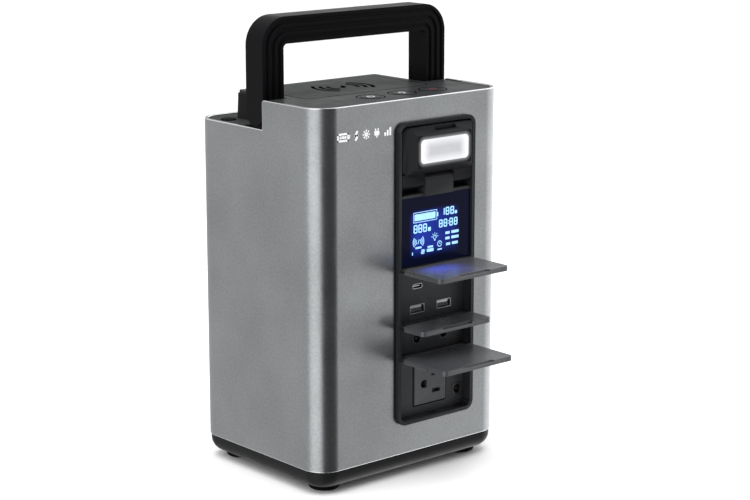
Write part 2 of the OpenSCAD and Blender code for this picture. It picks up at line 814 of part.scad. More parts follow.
module usb_a(side) color([0.6, 0.6, 0.62]) {
    translate([ports_x + side * usb_pitch, 0, usb_a_z]) {
        slab_y(floor_y - port_out, floor_y + usb_depth) difference() {
            rounded_rect(usb_a_w, usb_a_h, 0.6);
            rounded_rect(usb_a_w - 2 * shell_t, usb_a_h - 2 * shell_t, 0.3);
        }
        block([-usb_a_w / 2 + 0.2, floor_y + usb_depth - 1, -usb_a_h / 2 + 0.2],
              [usb_a_w / 2 - 0.2, floor_y + usb_depth, usb_a_h / 2 - 0.2]);
        block([-5.6, floor_y + 1.5, 0.3], [5.6, floor_y + usb_depth - 0.5, 2]);
    }
}

module usb_c(side) color([0.6, 0.6, 0.62]) {
    translate([ports_x + side * usb_pitch, 0, usb_c_z]) {
        slab_y(floor_y - port_out, floor_y + usb_depth) difference() {
            rounded_rect(usb_c_w, usb_c_h, usb_c_h / 2 - 0.01);
            rounded_rect(usb_c_w - 2 * shell_t, usb_c_h - 2 * shell_t, usb_c_h / 2 - shell_t - 0.01);
        }
        slab_y(floor_y + usb_depth - 1, floor_y + usb_depth)
            rounded_rect(usb_c_w - 0.4, usb_c_h - 0.4, usb_c_h / 2 - 0.25);
        block([-3.3, floor_y + 1, -0.35], [3.3, floor_y + usb_depth - 0.5, 0.35]);
    }
}

module usb_board() color([0.05, 0.3, 0.15])
    slab_y(floor_y + usb_depth, floor_y + usb_depth + board_t)
        translate([ports_x, (usb_a_z + usb_c_z) / 2]) rounded_rect(54, 34, 2);

module dc_jacks() color([0.08, 0.08, 0.085])
    for (side = [-1, 1])
        translate([ports_x + side * usb_pitch, 0, dc_z]) difference() {
            rod_y(floor_y - port_out, floor_y + jack_depth, jack_r);
            difference() {
                rod_y(floor_y - port_out - eps, floor_y + jack_depth - 2, jack_bore_r);
                rod_y(floor_y + 1, floor_y + jack_depth, jack_pin_r);
            }
        }

// Mains outlet lying on its side: two level blade slots and an earth hole.
module ac_outlet() color([0.13, 0.135, 0.14]) difference() {
    union() {
        slab_y(floor_y - 0.8, floor_y + panel_t)
            translate([outlet_x, outlet_z]) rounded_rect(outlet_w, outlet_h, 1);
        slab_y(floor_y + panel_t, floor_y + outlet_depth)
            translate([outlet_x, outlet_z]) rounded_rect(outlet_w + 6, outlet_h + 6, 2);
    }
    translate([outlet_x, 0, outlet_z]) {
        for (side = [-1, 1]) {
            slot_l = side > 0 ? 9 : 7.4;
            translate([ground_gap / 2 - slot_l / 2, floor_y - 1.3, side * slot_gap / 2 - 1.3])
                cube([slot_l, slot_depth, 2.6]);
        }
        slab_y(floor_y - 1.3, floor_y - 1.3 + slot_depth) translate([-ground_gap / 2, 0]) {
            circle(2.8);
            translate([0, -2.8]) square([2.6, 5.6]);
        }
    }
}

module dc_input() color([0.08, 0.08, 0.085])
    translate([input_x, 0, input_z]) difference() {
        slab_y(floor_y - port_out, floor_y + jack_depth)
            rounded_rect(input_w, input_w, 1);
        difference() {
            rod_y(floor_y - port_out - eps, floor_y + jack_depth - 2, jack_bore_r);
            rod_y(floor_y + 1, floor_y + jack_depth, jack_pin_r);
        }
    }

// ---------------------------------------------------------------- inside

// Frame of four posts and two shelves that carries the battery and the boards.
module inner_frame() color([0.16, 0.16, 0.17]) difference() {
    union() {
        for (side = [-1, 1]) {
            block([side * post_x - post_w / 2, post_front_y - post_w / 2, shelf_low_z],
                  [side * post_x + post_w / 2, post_front_y + post_w / 2, front_floor_z]);
            block([side * post_x - post_w / 2, post_rear_y - post_w / 2, shelf_low_z],
                  [side * post_x + post_w / 2, post_rear_y + post_w / 2,
                   cover_z - frame_floor_t]);
        }
        for (z = [shelf_low_z, mid_shelf_z])
            block([-post_x - post_w / 2, mid_y - 36, z],
                  [post_x + post_w / 2, post_rear_y + post_w / 2, z + low_shelf_t]);
        for (side = [-1, 1], z = [shelf_low_z, mid_shelf_z])
            block([side * (post_x - 6) - 10, post_front_y, z],
                  [side * (post_x - 6) + 10, mid_y, z + low_shelf_t]);
        for (sx = [-1, 1], sy = [-1, 1])
            translate([sx * 62, cell_y + sy * 34, mid_shelf_z])
                cylinder(h = inverter_z - mid_shelf_z, r = 3);
    }
    for (i = [-3:3])
        translate([i * 14, cell_y, mid_shelf_z - eps]) cylinder(h = low_shelf_t + 2 * eps, r = 4);
    for (side = [-1, 1])
        translate([side * 30, mid_y - 28, mid_shelf_z - eps])
            cylinder(h = low_shelf_t + 2 * eps, r = 4);
}

// One child at each cell of the battery.
module at_cells() {
    for (i = [0:cell_cols - 1], j = [0:cell_rows - 1])
        translate([(i - (cell_cols - 1) / 2) * cell_pitch,
                   cell_y + (j - (cell_rows - 1) / 2) * cell_pitch, 0]) children();
}

module holder_plate(z_low) {
    slab_z(z_low, z_low + holder_h) translate([0, cell_y])
        rounded_rect(cell_cols * cell_pitch + 2 * holder_rim - 1,
                     cell_rows * cell_pitch + 2 * holder_rim - 1, 4);
}

module battery_cells() color([0.2, 0.45, 0.75])
    at_cells() translate([0, 0, cell_z]) cylinder(h = cell_l, r = cell_r);

module cell_holder_lower() color([0.1, 0.1, 0.1]) difference() {
    holder_plate(holder_low_z);
    at_cells() translate([0, 0, cell_z]) cylinder(h = holder_h, r = cell_r + 0.1);
}

module cell_holder_upper() color([0.1, 0.1, 0.1]) {
    difference() {
        holder_plate(holder_up_z);
        at_cells() translate([0, 0, holder_up_z - eps]) cylinder(h = 4 + eps, r = cell_r + 0.1);
    }
    for (sx = [-1, 1], sy = [-1, 1])
        translate([sx * 45, cell_y + sy * 22, holder_up_z + holder_h]) cylinder(h = 2, r = 3);
}

module battery_board() color([0.05, 0.3, 0.15]) {
    slab_z(bms_z, bms_z + board_t) translate([0, cell_y]) rounded_rect(100, 54, 2);
    for (i = [-2:2])
        block([i * 16 - 3, cell_y - 20, bms_z + board_t],
              [i * 16 + 3, cell_y - 12, bms_z + board_t + 2]);
}

// Two insulated leads, from the battery board up to the inverter board.
module battery_leads() color([0.6, 0.08, 0.06])
    for (side = [-1, 1])
        translate([side * 30, mid_y - 28, 0]) {
            translate([0, 0, bms_z + 4]) cylinder(h = inverter_z - bms_z - 4, r = 1.8);
            translate([0, 0, bms_z + 4]) sphere(1.8);
            translate([0, 0, bms_z + 4]) rotate([-90, 0, 0]) cylinder(h = 9.2, r = 1.8);
        }

module inverter_board() color([0.05, 0.3, 0.15])
    slab_z(inverter_z, inverter_z + board_t)
        translate([0, cell_y]) rounded_rect(134, 78, 3);

module heat_sink() color([0.7, 0.71, 0.72]) {
    low = inverter_z + board_t;
    block([-58, cell_y + 14, low], [4, cell_y + 18, low + sink_h]);
    for (i = [0:9])
        block([-58 + i * 6.66, cell_y + 18, low], [-56 + i * 6.66, cell_y + 34, low + sink_h]);
}

module transformer() color([0.75, 0.55, 0.2]) {
    low = inverter_z + board_t;
    block([14, cell_y - 18, low], [54, cell_y + 14, low + 8]);
    block([14, cell_y - 18, low + 28], [54, cell_y + 14, low + 36]);
    translate([34, cell_y - 2, low + 8]) cylinder(h = 20, r = 15);
}

module capacitors() color([0.08, 0.1, 0.25])
    for (i = [0:2])
        translate([-48 + i * 20, cell_y - 20, inverter_z + board_t]) cylinder(h = 32, r = 8);

// ---------------------------------------------------------------- cooling

module fan_frame() color([0.08, 0.08, 0.085]) translate([0, fan_y, fan_z]) difference() {
    union() {
        difference() {
            slab_y(0, fan_t) rounded_rect(fan_size, fan_size, 4);
            rod_y(-eps, fan_t + eps, fan_bore_r);
        }
        for (angle = [0, 90, 180, 270]) rotate([0, angle + 45, 0])
            block([fan_hub_r - 2, 0, -1.5], [fan_bore_r + 0.8, 2, 1.5]);
        rod_y(0, 4, fan_hub_r);
    }
    rod_y(1.5, fan_t, fan_shaft_r + slip);
    for (sx = [-1, 1], sz = [-1, 1])
        translate([sx * 25, 0, sz * 25]) rod_y(-eps, fan_t + eps, 1.6);
}

module fan_rotor() color([0.1, 0.1, 0.11]) translate([0, fan_y, fan_z]) {
    rod_y(1.6, 5, fan_shaft_r);
    rod_y(4.5, 13, fan_hub_r);
    for (i = [0:blade_count - 1]) rotate([0, i * 360 / blade_count, 0])
        translate([fan_hub_r - 1, 8.75, 0]) rotate([32, 0, 0])
            block([0, -4.8, -0.7], [fan_bore_r - fan_hub_r, 4.8, 0.7]);
}

// Louvred grille behind the fan, flush with the rear face.
module rear_grille() color([0.09, 0.09, 0.095]) difference() {
    slab_y(rear_y - wall, rear_y) translate([0, fan_z]) rounded_rect(grille_w, grille_w, 5);
    for (i = [-5:5])
        block([-26, rear_y - wall - eps, fan_z + i * 5 - 1.3],
              [26, rear_y + eps, fan_z + i * 5 + 1.3]);
}

housing_sleeve();
bottom_cover();
foot(-1, -1);  // foot_front_left
foot(1, -1);  // foot_front_right
foot(-1, 1);  // foot_rear_left
foot(1, 1);  // foot_rear_right
foot_screws();
top_frame();
top_plate();
charging_pad();
charging_coil();
coil_shield();
deck_cover();
deck_bumpers();
handle();
handle_pins();
handle_washers();
button(button_xs[0]);  // button_left
button(button_xs[1]);  // button_middle
button(button_xs[2]);  // button_right
button_switches();
button_board();
front_bezel();
port_panel();
lamp_housing();
lamp_lens();
lamp_led_board();
lamp_pin();
lcd_window();
lcd_module();
display_board();
door(usb_hinge_z, usb_door_l);  // door_usb
door(dc_hinge_z, dc_door_l);  // door_dc
door(ac_hinge_z, ac_door_l);  // door_ac
door_pin(usb_hinge_z);  // door_usb_pin
door_pin(dc_hinge_z);  // door_dc_pin
door_pin(ac_hinge_z);  // door_ac_pin
usb_a(-1);  // usb_a_left
usb_a(1);  // usb_a_right
usb_c(-1);  // usb_c_left
usb_c(1);  // usb_c_right
usb_board();
dc_jacks();
ac_outlet();
dc_input();
inner_frame();
battery_cells();
cell_holder_lower();
cell_holder_upper();
battery_board();
battery_leads();
inverter_board();
heat_sink();
transformer();
capacitors();
fan_frame();
fan_rotor();
rear_grille();
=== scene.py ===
"""Looks of a portable power station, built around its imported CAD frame.

Visible nodes are shown by pieces of their own shape with rounded edges. What is printed or lit is
added as thin plates. Materials are procedural, and every place on the part comes from the frame.
"""

import json
import math

import bmesh
import bpy
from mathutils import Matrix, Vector


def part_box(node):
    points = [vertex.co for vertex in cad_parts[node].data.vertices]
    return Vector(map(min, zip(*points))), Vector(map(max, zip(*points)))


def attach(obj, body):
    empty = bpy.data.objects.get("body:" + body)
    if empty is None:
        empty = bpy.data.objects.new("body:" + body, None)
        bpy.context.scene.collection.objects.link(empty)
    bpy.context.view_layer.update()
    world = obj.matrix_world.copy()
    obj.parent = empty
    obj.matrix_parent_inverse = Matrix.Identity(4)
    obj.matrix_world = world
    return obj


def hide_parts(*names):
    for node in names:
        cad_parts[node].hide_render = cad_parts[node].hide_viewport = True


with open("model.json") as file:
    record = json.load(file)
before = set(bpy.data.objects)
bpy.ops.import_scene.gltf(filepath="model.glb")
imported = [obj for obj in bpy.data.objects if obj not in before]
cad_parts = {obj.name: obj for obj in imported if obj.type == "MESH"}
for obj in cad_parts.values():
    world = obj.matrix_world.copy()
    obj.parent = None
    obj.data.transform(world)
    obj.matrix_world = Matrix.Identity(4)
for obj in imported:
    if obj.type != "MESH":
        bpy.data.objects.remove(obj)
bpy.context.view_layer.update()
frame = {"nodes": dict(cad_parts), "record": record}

MM = 0.001
X_AXIS, Y_AXIS, Z_AXIS = 0, 1, 2
RECORD = frame["record"]
NODE_SLOT = {part["node"]: part["material_slot"] for part in RECORD["subparts"]}
NODE_BODY = {n: body for body, nodes in RECORD["behaviour"]["bodies"].items() for n in nodes}


# ---------------------------------------------------------------- node helpers


class Nodes:
    """Short calls for building one material's node tree."""

    def __init__(self, name, material=None):
        self.material = material or bpy.data.materials.new(name)
        self.material.use_nodes = True
        self.tree = self.material.node_tree
        self.shader = self.tree.nodes["Principled BSDF"]
        self.place = self.add("ShaderNodeTexCoord").outputs["Object"]

    def add(self, kind, **settings):
        node = self.tree.nodes.new(kind)
        for key, value in settings.items():
            setattr(node, key, value)
        return node

    def link(self, source, target):
        self.tree.links.new(source, target)

    def feed(self, **sockets):
        """Set or link the shader's sockets; an underscore in a key stands for a space."""
        for key, value in sockets.items():
            socket = self.shader.inputs[key.replace("_", " ")]
            if isinstance(value, (int, float)):
                socket.default_value = value
            elif isinstance(value, tuple):
                socket.default_value = (*value, 1.0)
            else:
                self.link(value, socket)

    def noise(self, scale, detail=3.0, roughness=0.55, stretch=(1, 1, 1)):
        """Noise in the object's own frame; scale is in features per metre."""
        mapping = self.add("ShaderNodeMapping")
        mapping.inputs["Scale"].default_value = stretch
        self.link(self.place, mapping.inputs["Vector"])
        noise = self.add("ShaderNodeTexNoise")
        noise.inputs["Scale"].default_value = scale
        noise.inputs["Detail"].default_value = detail
        noise.inputs["Roughness"].default_value = roughness
        self.link(mapping.outputs[0], noise.inputs["Vector"])
        return noise.outputs["Fac"]

    def remap(self, value, low, high, from_low=0.3, from_high=0.7):
        """Value moved from one range to another; noise lies mostly between 0.3 and 0.7."""
        node = self.add("ShaderNodeMapRange")
        node.inputs["From Min"].default_value = from_low
        node.inputs["From Max"].default_value = from_high
        node.inputs["To Min"].default_value = low
        node.inputs["To Max"].default_value = high
        self.link(value, node.inputs["Value"])
        return node.outputs["Result"]

    def math(self, operation, a, b=0.0):
        node = self.add("ShaderNodeMath", operation=operation)
        for socket, value in zip(node.inputs, (a, b)):
            if isinstance(value, (int, float)):
                socket.default_value = value
            else:
                self.link(value, socket)
        return node.outputs[0]

    def product(self, first, *others):
        for other in others:
            first = self.math("MULTIPLY", first, other)
        return first

    def mix(self, factor, a, b):
        node = self.add("ShaderNodeMix", data_type="RGBA", blend_type="MIX")
        for socket, value in ((node.inputs[0], factor), (node.inputs[6], a), (node.inputs[7], b)):
            if isinstance(value, (int, float)):
                socket.default_value = value
            elif isinstance(value, tuple):
                socket.default_value = (*value, 1.0)
            else:
                self.link(value, socket)
        return node.outputs[2]

    def bump(self, height, strength, distance):
        node = self.add("ShaderNodeBump")
        node.inputs["Strength"].default_value = strength
        node.inputs["Distance"].default_value = distance
        self.link(height, node.inputs["Height"])
        return node.outputs["Normal"]

    def axis(self, index):
        split = self.add("ShaderNodeSeparateXYZ")
        self.link(self.place, split.inputs[0])
        return split.outputs[index]

    def box_mask(self, low, high, soft):
        """1 inside the box from low to high in X and Z, falling to 0 over soft beyond its sides."""
        squares = []
        for index, a, b in ((X_AXIS, low.x, high.x), (Z_AXIS, low.z, high.z)):
            at = self.axis(index)
            past = self.math("MAXIMUM", self.math("SUBTRACT", a, at), self.math("SUBTRACT", at, b))
            past = self.math("MAXIMUM", past, 0.0)
            squares.append(self.product(past, past))
        outside = self.math("SQRT", self.math("ADD", squares[0], squares[1]))
        return self.remap(outside, 1.0, 0.0, 0.0, soft)


def shaded(colour, share):
    return tuple(min(1.0, c * share) for c in colour)


def inset(x, z):
    """A step in from the sides and from the top or the foot of a front face, in mm."""
    return Vector((x * MM, 0, z * MM))


# ---------------------------------------------------------------- kinds of surface

MOTTLE_SHARE, SPECK_SHARE = 0.55, 0.45  # large and fine mottling in the colour
RUBBED_FROM, RUBBED_FULL = 0.52, 0.62  # pointiness where an edge starts to look rubbed
RUBBED_KEEP, RUBBED_LIFT = 0.7, 0.06  # a rubbed edge keeps part of its colour and gets paler
SPECK_SCALE, GLOSS_SCALE = 0.6, 2.3  # fine mottling against the grain, gloss against the blotches
GLOSS_SPREAD = 0.05


def moulded(
    name,
    colour,
    roughness,
    grain=2600,
    grain_depth=0.03,
    grain_strength=0.15,
    metallic=0.0,
    variation=0.08,
    wear=0.35,
    specular=0.5,
    blotch=26,
    stretch=(1, 1, 1),
):
    """A moulded, blasted or cast surface: mottled colour, uneven gloss, fine grain, rubbed edges.

    Grain and blotch are in features per metre, grain_depth in mm; the rest are shares.
    """
    n = Nodes(name)
    mottle = n.remap(n.noise(blotch, 4), 0.0, 1.0)
    speck = n.remap(n.noise(grain * SPECK_SCALE, 2, stretch=stretch), 0.0, 1.0)
    blend = n.math("ADD", n.product(mottle, MOTTLE_SHARE), n.product(speck, SPECK_SHARE))
    base = n.mix(blend, shaded(colour, 1 - variation), shaded(colour, 1 + variation))
    pointiness = n.add("ShaderNodeNewGeometry").outputs["Pointiness"]
    edge = n.remap(pointiness, 0.0, wear, RUBBED_FROM, RUBBED_FULL)
    base = n.mix(edge, base, tuple(RUBBED_KEEP * c + RUBBED_LIFT for c in colour))
    uneven = n.noise(blotch * GLOSS_SCALE, 3)
    gloss = n.remap(uneven, roughness - GLOSS_SPREAD, roughness + GLOSS_SPREAD)
    n.feed(
        Base_Color=base,
        Roughness=gloss,
        Metallic=metallic,
        Specular_IOR_Level=specular,
        Normal=n.bump(n.noise(grain, 3, stretch=stretch), grain_strength, grain_depth * MM),
    )
    return n.material


def drawn_metal(name, colour, roughness, stretch=(1, 1, 1)):
    """Plated or drawn metal, with fine lines along its length."""
    return moulded(
        name, colour, roughness, grain=1800, grain_depth=0.01, grain_strength=0.2,
        metallic=1.0, variation=0.06, wear=0.2, blotch=60, stretch=stretch,
    )


def glowing(name, colour, power):
    """Lit segments, with a little unevenness from one to the next."""
    dimmest, brightest = 0.85, 1.1
    darkest, palest = 0.4, 0.5
    n = Nodes(name)
    n.feed(
        Emission_Strength=n.remap(n.noise(260, 2), power * dimmest, power * brightest),
        Emission_Color=colour,
        Base_Color=n.mix(n.noise(300), shaded(colour, darkest), shaded(colour, palest)),
        Roughness=0.4,
    )
    return n.material


def lit_lens(name, low, high):
    """An opal diffuser, lit from behind; its rim is brighter than its middle."""
    rim, fade, middle_power = inset(8.5, 6), 7.5 * MM, 0.56
    n = Nodes(name)
    middle = n.box_mask(low + rim, high - rim, fade)
    ripple = n.remap(n.noise(90, 2), 0.96, 1.04)
    n.feed(
        Emission_Strength=n.product(n.remap(middle, 1.0, middle_power, 0, 1), ripple),
        Emission_Color=(0.96, 0.965, 1.0),
        Base_Color=(0.05, 0.05, 0.055),
        Roughness=0.35,
        Normal=n.bump(n.noise(1500, 2), 0.15, 0.02 * MM),
    )
    return n.material


def spill_light(material, low, high, reach, power):
    """Light that the lens from low to high spills on the moulding round it."""
    n = Nodes(None, material)
    near = n.box_mask(low, high, reach)
    n.feed(Emission_Strength=n.product(near, near, power), Emission_Color=(0.96, 0.97, 1.0))
    return material


def backlit_window(name, low, high):
    """Dark window with the display's lit blue area behind it, weaker to the right and the foot."""
    full_until, foot_from, foot_full = 22 * MM, -1 * MM, 13 * MM
    right_power, foot_power = 0.45, 0.3
    lit_power, dark_power = 1.05, 0.035
    left_foot_edge, right_top_edge, fade = inset(6, 6), inset(9.5, 7.5), 6 * MM
    n = Nodes(name)
    lit = n.box_mask(low + left_foot_edge, high - right_top_edge, fade)
    cloud = n.remap(n.noise(42, 2), 0.7, 1.2)
    across = n.remap(n.axis(X_AXIS), 1.0, right_power, low.x + full_until, high.x)
    up = n.remap(n.axis(Z_AXIS), foot_power, 1.0, low.z + foot_from, low.z + foot_full)
    power = n.product(n.product(lit, cloud), n.product(across, up), lit_power)
    n.feed(
        Emission_Strength=n.math("ADD", power, dark_power),
        Emission_Color=(0.01, 0.028, 0.3),
        Base_Color=n.mix(lit, (0.002, 0.0025, 0.006), (0.002, 0.003, 0.012)),
        Roughness=n.remap(n.noise(60, 2), 0.16, 0.24),
        Specular_IOR_Level=0.05,
    )
    return n.material


# ---------------------------------------------------------------- materials

WINDOW_LOW, WINDOW_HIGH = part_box("lcd_window")
WINDOW_X = (WINDOW_LOW.x + WINDOW_HIGH.x) / 2
LIT_LEFT, LIT_RIGHT = 24.8 * MM, 26.8 * MM  # the lit area's sides from the window's middle
LIT_FOOT, LIT_TOP = 4.2 * MM, 7 * MM  # and its foot and top from the window's
LIT_LOW = Vector((WINDOW_X - LIT_LEFT, 0, WINDOW_LOW.z + LIT_FOOT))
LIT_HIGH = Vector((WINDOW_X + LIT_RIGHT, 0, WINDOW_HIGH.z - LIT_TOP))
LENS_LOW, LENS_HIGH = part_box("lamp_lens")

MOULDED = {
    "aluminium_grey": dict(
        colour=(0.268, 0.277, 0.283), roughness=0.32, grain=1000, grain_depth=0.08,
        grain_strength=0.2, metallic=1.0, variation=0.22, wear=0.15, blotch=14,
    ),
    "black_plastic": dict(
        colour=(0.0055, 0.0055, 0.0058), roughness=0.5, wear=0.2, specular=0.05
    ),
    "base_black": dict(
        colour=(0.0085, 0.0088, 0.0093), roughness=0.42, wear=0.1, specular=0.085
    ),
    "panel_black": dict(colour=(0.027, 0.029, 0.032), roughness=0.42, wear=0.2, specular=0.14),
    "bezel_black": dict(colour=(0.0115, 0.0125, 0.0145), roughness=0.4, wear=0.3, specular=0.1),
    "door_grey": dict(colour=(0.04, 0.042, 0.047), roughness=0.3, wear=0.5, specular=0.45),
    "top_grey": dict(
        colour=(0.021, 0.0225, 0.0232), roughness=0.38, grain=3000, wear=0.15, specular=0.045
    ),
    "pad_grey": dict(
        colour=(0.024, 0.0258, 0.0265), roughness=0.45, grain=3600, wear=0.15, specular=0.042
    ),
    "deck_grey": dict(colour=(0.028, 0.03, 0.0297), roughness=0.7, grain=3000, specular=0.03),
    "handle_black": dict(
        colour=(0.0032, 0.0032, 0.0039), roughness=0.33, wear=0.02, specular=0.045
    ),
    "rubber_black": dict(
        colour=(0.0035, 0.0035, 0.0036), roughness=0.75, grain=2200, wear=0.05, specular=0.04
    ),
    "button_grey": dict(
        colour=(0.02, 0.0212, 0.022), roughness=0.36, grain=3000, wear=0.15, specular=0.045
    ),
    "lamp_black": dict(colour=(0.005, 0.0055, 0.0068), roughness=0.34, wear=0.15, specular=0.045),
    "socket_black": dict(colour=(0.016, 0.016, 0.017), roughness=0.45),
    "outlet_grey": dict(colour=(0.03, 0.0315, 0.034), roughness=0.42),
    "frame_grey": dict(colour=(0.045, 0.045, 0.048), roughness=0.5),
    "board_green": dict(colour=(0.01, 0.11, 0.045), roughness=0.35, grain=900, variation=0.2),
    "cell_blue": dict(colour=(0.04, 0.16, 0.45), roughness=0.3, variation=0.12),
    "ferrite": dict(colour=(0.045, 0.045, 0.05), roughness=0.7, grain=1500),
    "lead_red": dict(colour=(0.4, 0.02, 0.015), roughness=0.5),
    "winding": dict(colour=(0.42, 0.26, 0.05), roughness=0.55, grain=1200, variation=0.2),
    "capacitor_sleeve": dict(colour=(0.02, 0.03, 0.12), roughness=0.35),
    "print_black": dict(
        colour=(0.0012, 0.0012, 0.0015), roughness=0.9, grain=3800, variation=0.15, wear=0.0,
        specular=0.0,
    ),
    "print_white": dict(
        colour=(0.82, 0.83, 0.84), roughness=0.45, grain=3800, variation=0.04, wear=0.0
    ),
}
DRAWN = {
    # rim_metal on the sleeve's rounded edges: a polished edge, and partly a painted highlight for
    # the bright line along the rim
    "rim_metal": dict(colour=(0.72, 0.73, 0.75), roughness=0.26),
    "steel": dict(colour=(0.55, 0.56, 0.58), roughness=0.32),
    "port_metal": dict(colour=(0.4, 0.41, 0.43), roughness=0.3, stretch=(1, 0.1, 1)),
    "copper": dict(colour=(0.6, 0.26, 0.12), roughness=0.35),
    "heat_sink_metal": dict(colour=(0.6, 0.61, 0.62), roughness=0.4, stretch=(1, 1, 0.1)),
    "contact_metal": dict(colour=(0.75, 0.74, 0.7), roughness=0.3),
    # contact_dull is dark partly as the contacts' own colour and partly as painted shade of the
    # deep outlet slots
    "contact_dull": dict(colour=(0.2, 0.19, 0.17), roughness=0.35),
}
GLOWING = {
    "display_blue": dict(colour=(0.1, 0.16, 0.9), power=0.6),
    "glyph_cyan": dict(colour=(0.36, 0.68, 1.0), power=0.95),
    "glyph_white": dict(colour=(0.75, 0.78, 0.8), power=0.55),
    "glyph_red": dict(colour=(0.32, 0.05, 0.05), power=0.3),
}
MATERIALS = {}
for make, looks in ((moulded, MOULDED), (drawn_metal, DRAWN), (glowing, GLOWING)):
    for look_name, look in looks.items():
        MATERIALS[look_name] = make(look_name, **look)
MATERIALS["lamp_diffuser"] = lit_lens("lamp_diffuser", LENS_LOW, LENS_HIGH)
MATERIALS["display_glass"] = backlit_window("display_glass", LIT_LOW, LIT_HIGH)
spill_light(
    MATERIALS["lamp_black"], LENS_LOW + inset(3, 3), LENS_HIGH - inset(3, 3), 6.6 * MM, 1.1
)
for slot_name, material in MATERIALS.items():
    material.name = slot_name

for node_name, node in frame["nodes"].items():
    node.data.materials.clear()
    node.data.materials.append(MATERIALS[NODE_SLOT[node_name]])


# ---------------------------------------------------------------- mesh helpers


def piece(name, shape, body, material, smooth_angle=35):
    """A new object from a bmesh, riding on a body."""
    mesh = bpy.data.meshes.new(name)
    shape.normal_update()
    shape.to_mesh(mesh)
    shape.free()
    for polygon in mesh.polygons:
        polygon.use_smooth = True
    mesh.set_sharp_from_angle(angle=math.radians(smooth_angle))
    mesh.materials.append(MATERIALS[material])
    obj = bpy.data.objects.new(name, mesh)
    bpy.context.scene.collection.objects.link(obj)
    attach(obj, body)
    return obj


OWN_LOOK = {"front_bezel": "bezel_black", "bottom_cover": "base_black"}
# the sleeve's rounded edges in brighter metal are partly a painted highlight along the rim
EDGE_LOOK = {"housing_sleeve": "rim_metal"}  # its cut edges are brighter than its faces
SAME_POINT = 0.002 * MM
FLAT_ANGLE = 0.6
SHARP_ANGLE = 28
PIECE_SMOOTH_ANGLE = 40


def softened(name, node, radius, segments):
    """The node's own shape with rounded edges; it stands for the node."""
    shape = bmesh.new()
    shape.from_mesh(frame["nodes"][node].data)
    bmesh.ops.remove_doubles(shape, verts=shape.verts, dist=SAME_POINT)
    bmesh.ops.dissolve_limit(
        shape, angle_limit=math.radians(FLAT_ANGLE), verts=shape.verts, edges=shape.edges
    )
    sharp = [
        e for e in shape.edges
        if len(e.link_faces) == 2 and e.calc_face_angle(0.0) > math.radians(SHARP_ANGLE)
    ]
    rounded = bmesh.ops.bevel(
        shape, geom=sharp, offset=radius, offset_type="OFFSET", segments=segments,
        profile=0.5, affect="EDGES", clamp_overlap=True,
    )
    # the rounded edges take the brighter rim metal, partly a painted highlight
    if node in EDGE_LOOK:
        for face in rounded["faces"]:
            face.material_index = 1
    look = OWN_LOOK.get(node, NODE_SLOT[node])
    obj = piece(name, shape, NODE_BODY[node], look, PIECE_SMOOTH_ANGLE)
    if node in EDGE_LOOK:
        obj.data.materials.append(MATERIALS[EDGE_LOOK[node]])
    level = obj.modifiers.new("even_normals", "WEIGHTED_NORMAL")
    level.keep_sharp = True
    level.weight = 100
    solved = obj.evaluated_get(bpy.context.evaluated_depsgraph_get())
    obj.data = bpy.data.meshes.new_from_object(solved)
    obj.modifiers.clear()
    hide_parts(node)


def offset(point, u, v):
    """A point u and v millimetres away in the plane of a face."""
    return point[0] + u * MM, point[1] + v * MM


def polar(point, radius, degrees):
    a = math.radians(degrees)
    return offset(point, radius * math.cos(a), radius * math.sin(a))


def rounded_outline(low, high, radius, steps):
    """Outline of a rectangle with round corners."""
    points = []
    corners = (
        (high[0] - radius, high[1] - radius, 0), (low[0] + radius, high[1] - radius, 90),
        (low[0] + radius, low[1] + radius, 180), (high[0] - radius, low[1] + radius, 270),
    )
    for x, y, start in corners:
        for i in range(steps + 1):
            a = math.radians(start + 90 * i / steps)
            points.append((x + radius * math.cos(a), y + radius * math.sin(a)))
    return points


def arc_band(centre, radius, width, start, end, steps):
    """Outline of a band along an arc, angles in degrees."""
    points = []
    for side, angles in ((0.5, range(steps + 1)), (-0.5, range(steps, -1, -1))):
        for i in angles:
            a = math.radians(start + (end - start) * i / steps)
            r = radius + side * width
            points.append((centre[0] + r * math.cos(a), centre[1] + r * math.sin(a)))
    return points


def stroke(a, b, width):
    """Outline of a straight bar from a to b."""
    along = Vector((b[0] - a[0], b[1] - a[1])).normalized() * width / 2
    side = Vector((-along.y, along.x))
    return [
        (a[0] + side.x, a[1] + side.y), (a[0] - side.x, a[1] - side.y),
        (b[0] - side.x, b[1] - side.y), (b[0] + side.x, b[1] + side.y),
    ]


class Marks:
    """Closed thin plates in one layer of the part, gathered into one piece.

    The layer reaches from low to high along the axis. Outlines are in the plane across it: X and Z
    on a front face, X and Y on a top. Places are in metres; radius and width are in millimetres.
    """

    def __init__(self, low, high, axis):
        self.shape = bmesh.new()
        self.low, self.high, self.axis = low, high, axis

    def corner(self, point, at):
        if self.axis == Y_AXIS:
            return Vector((point[0], at, point[1]))
        return Vector((point[0], point[1], at))

    def plate(self, outline):
        near = [self.shape.verts.new(self.corner(p, self.low)) for p in outline]
        far = [self.shape.verts.new(self.corner(p, self.high)) for p in outline]
        self.shape.faces.new(near)
        self.shape.faces.new(list(reversed(far)))
        for i in range(len(outline)):
            j = (i + 1) % len(outline)
            self.shape.faces.new((near[j], near[i], far[i], far[j]))

    def bar(self, low, high, radius, steps=3):
        self.plate(rounded_outline(low, high, radius * MM, steps))

    def line(self, a, b, width):
        self.plate(stroke(a, b, width * MM))

    def arc(self, centre, radius, width, start, end, steps):
        self.plate(arc_band(centre, radius * MM, width * MM, start, end, steps))

    def finish(self, name, body, material):
        bmesh.ops.recalc_face_normals(self.shape, faces=self.shape.faces)
        piece(name, self.shape, body, material)


# ---------------------------------------------------------------- parts with softened edges

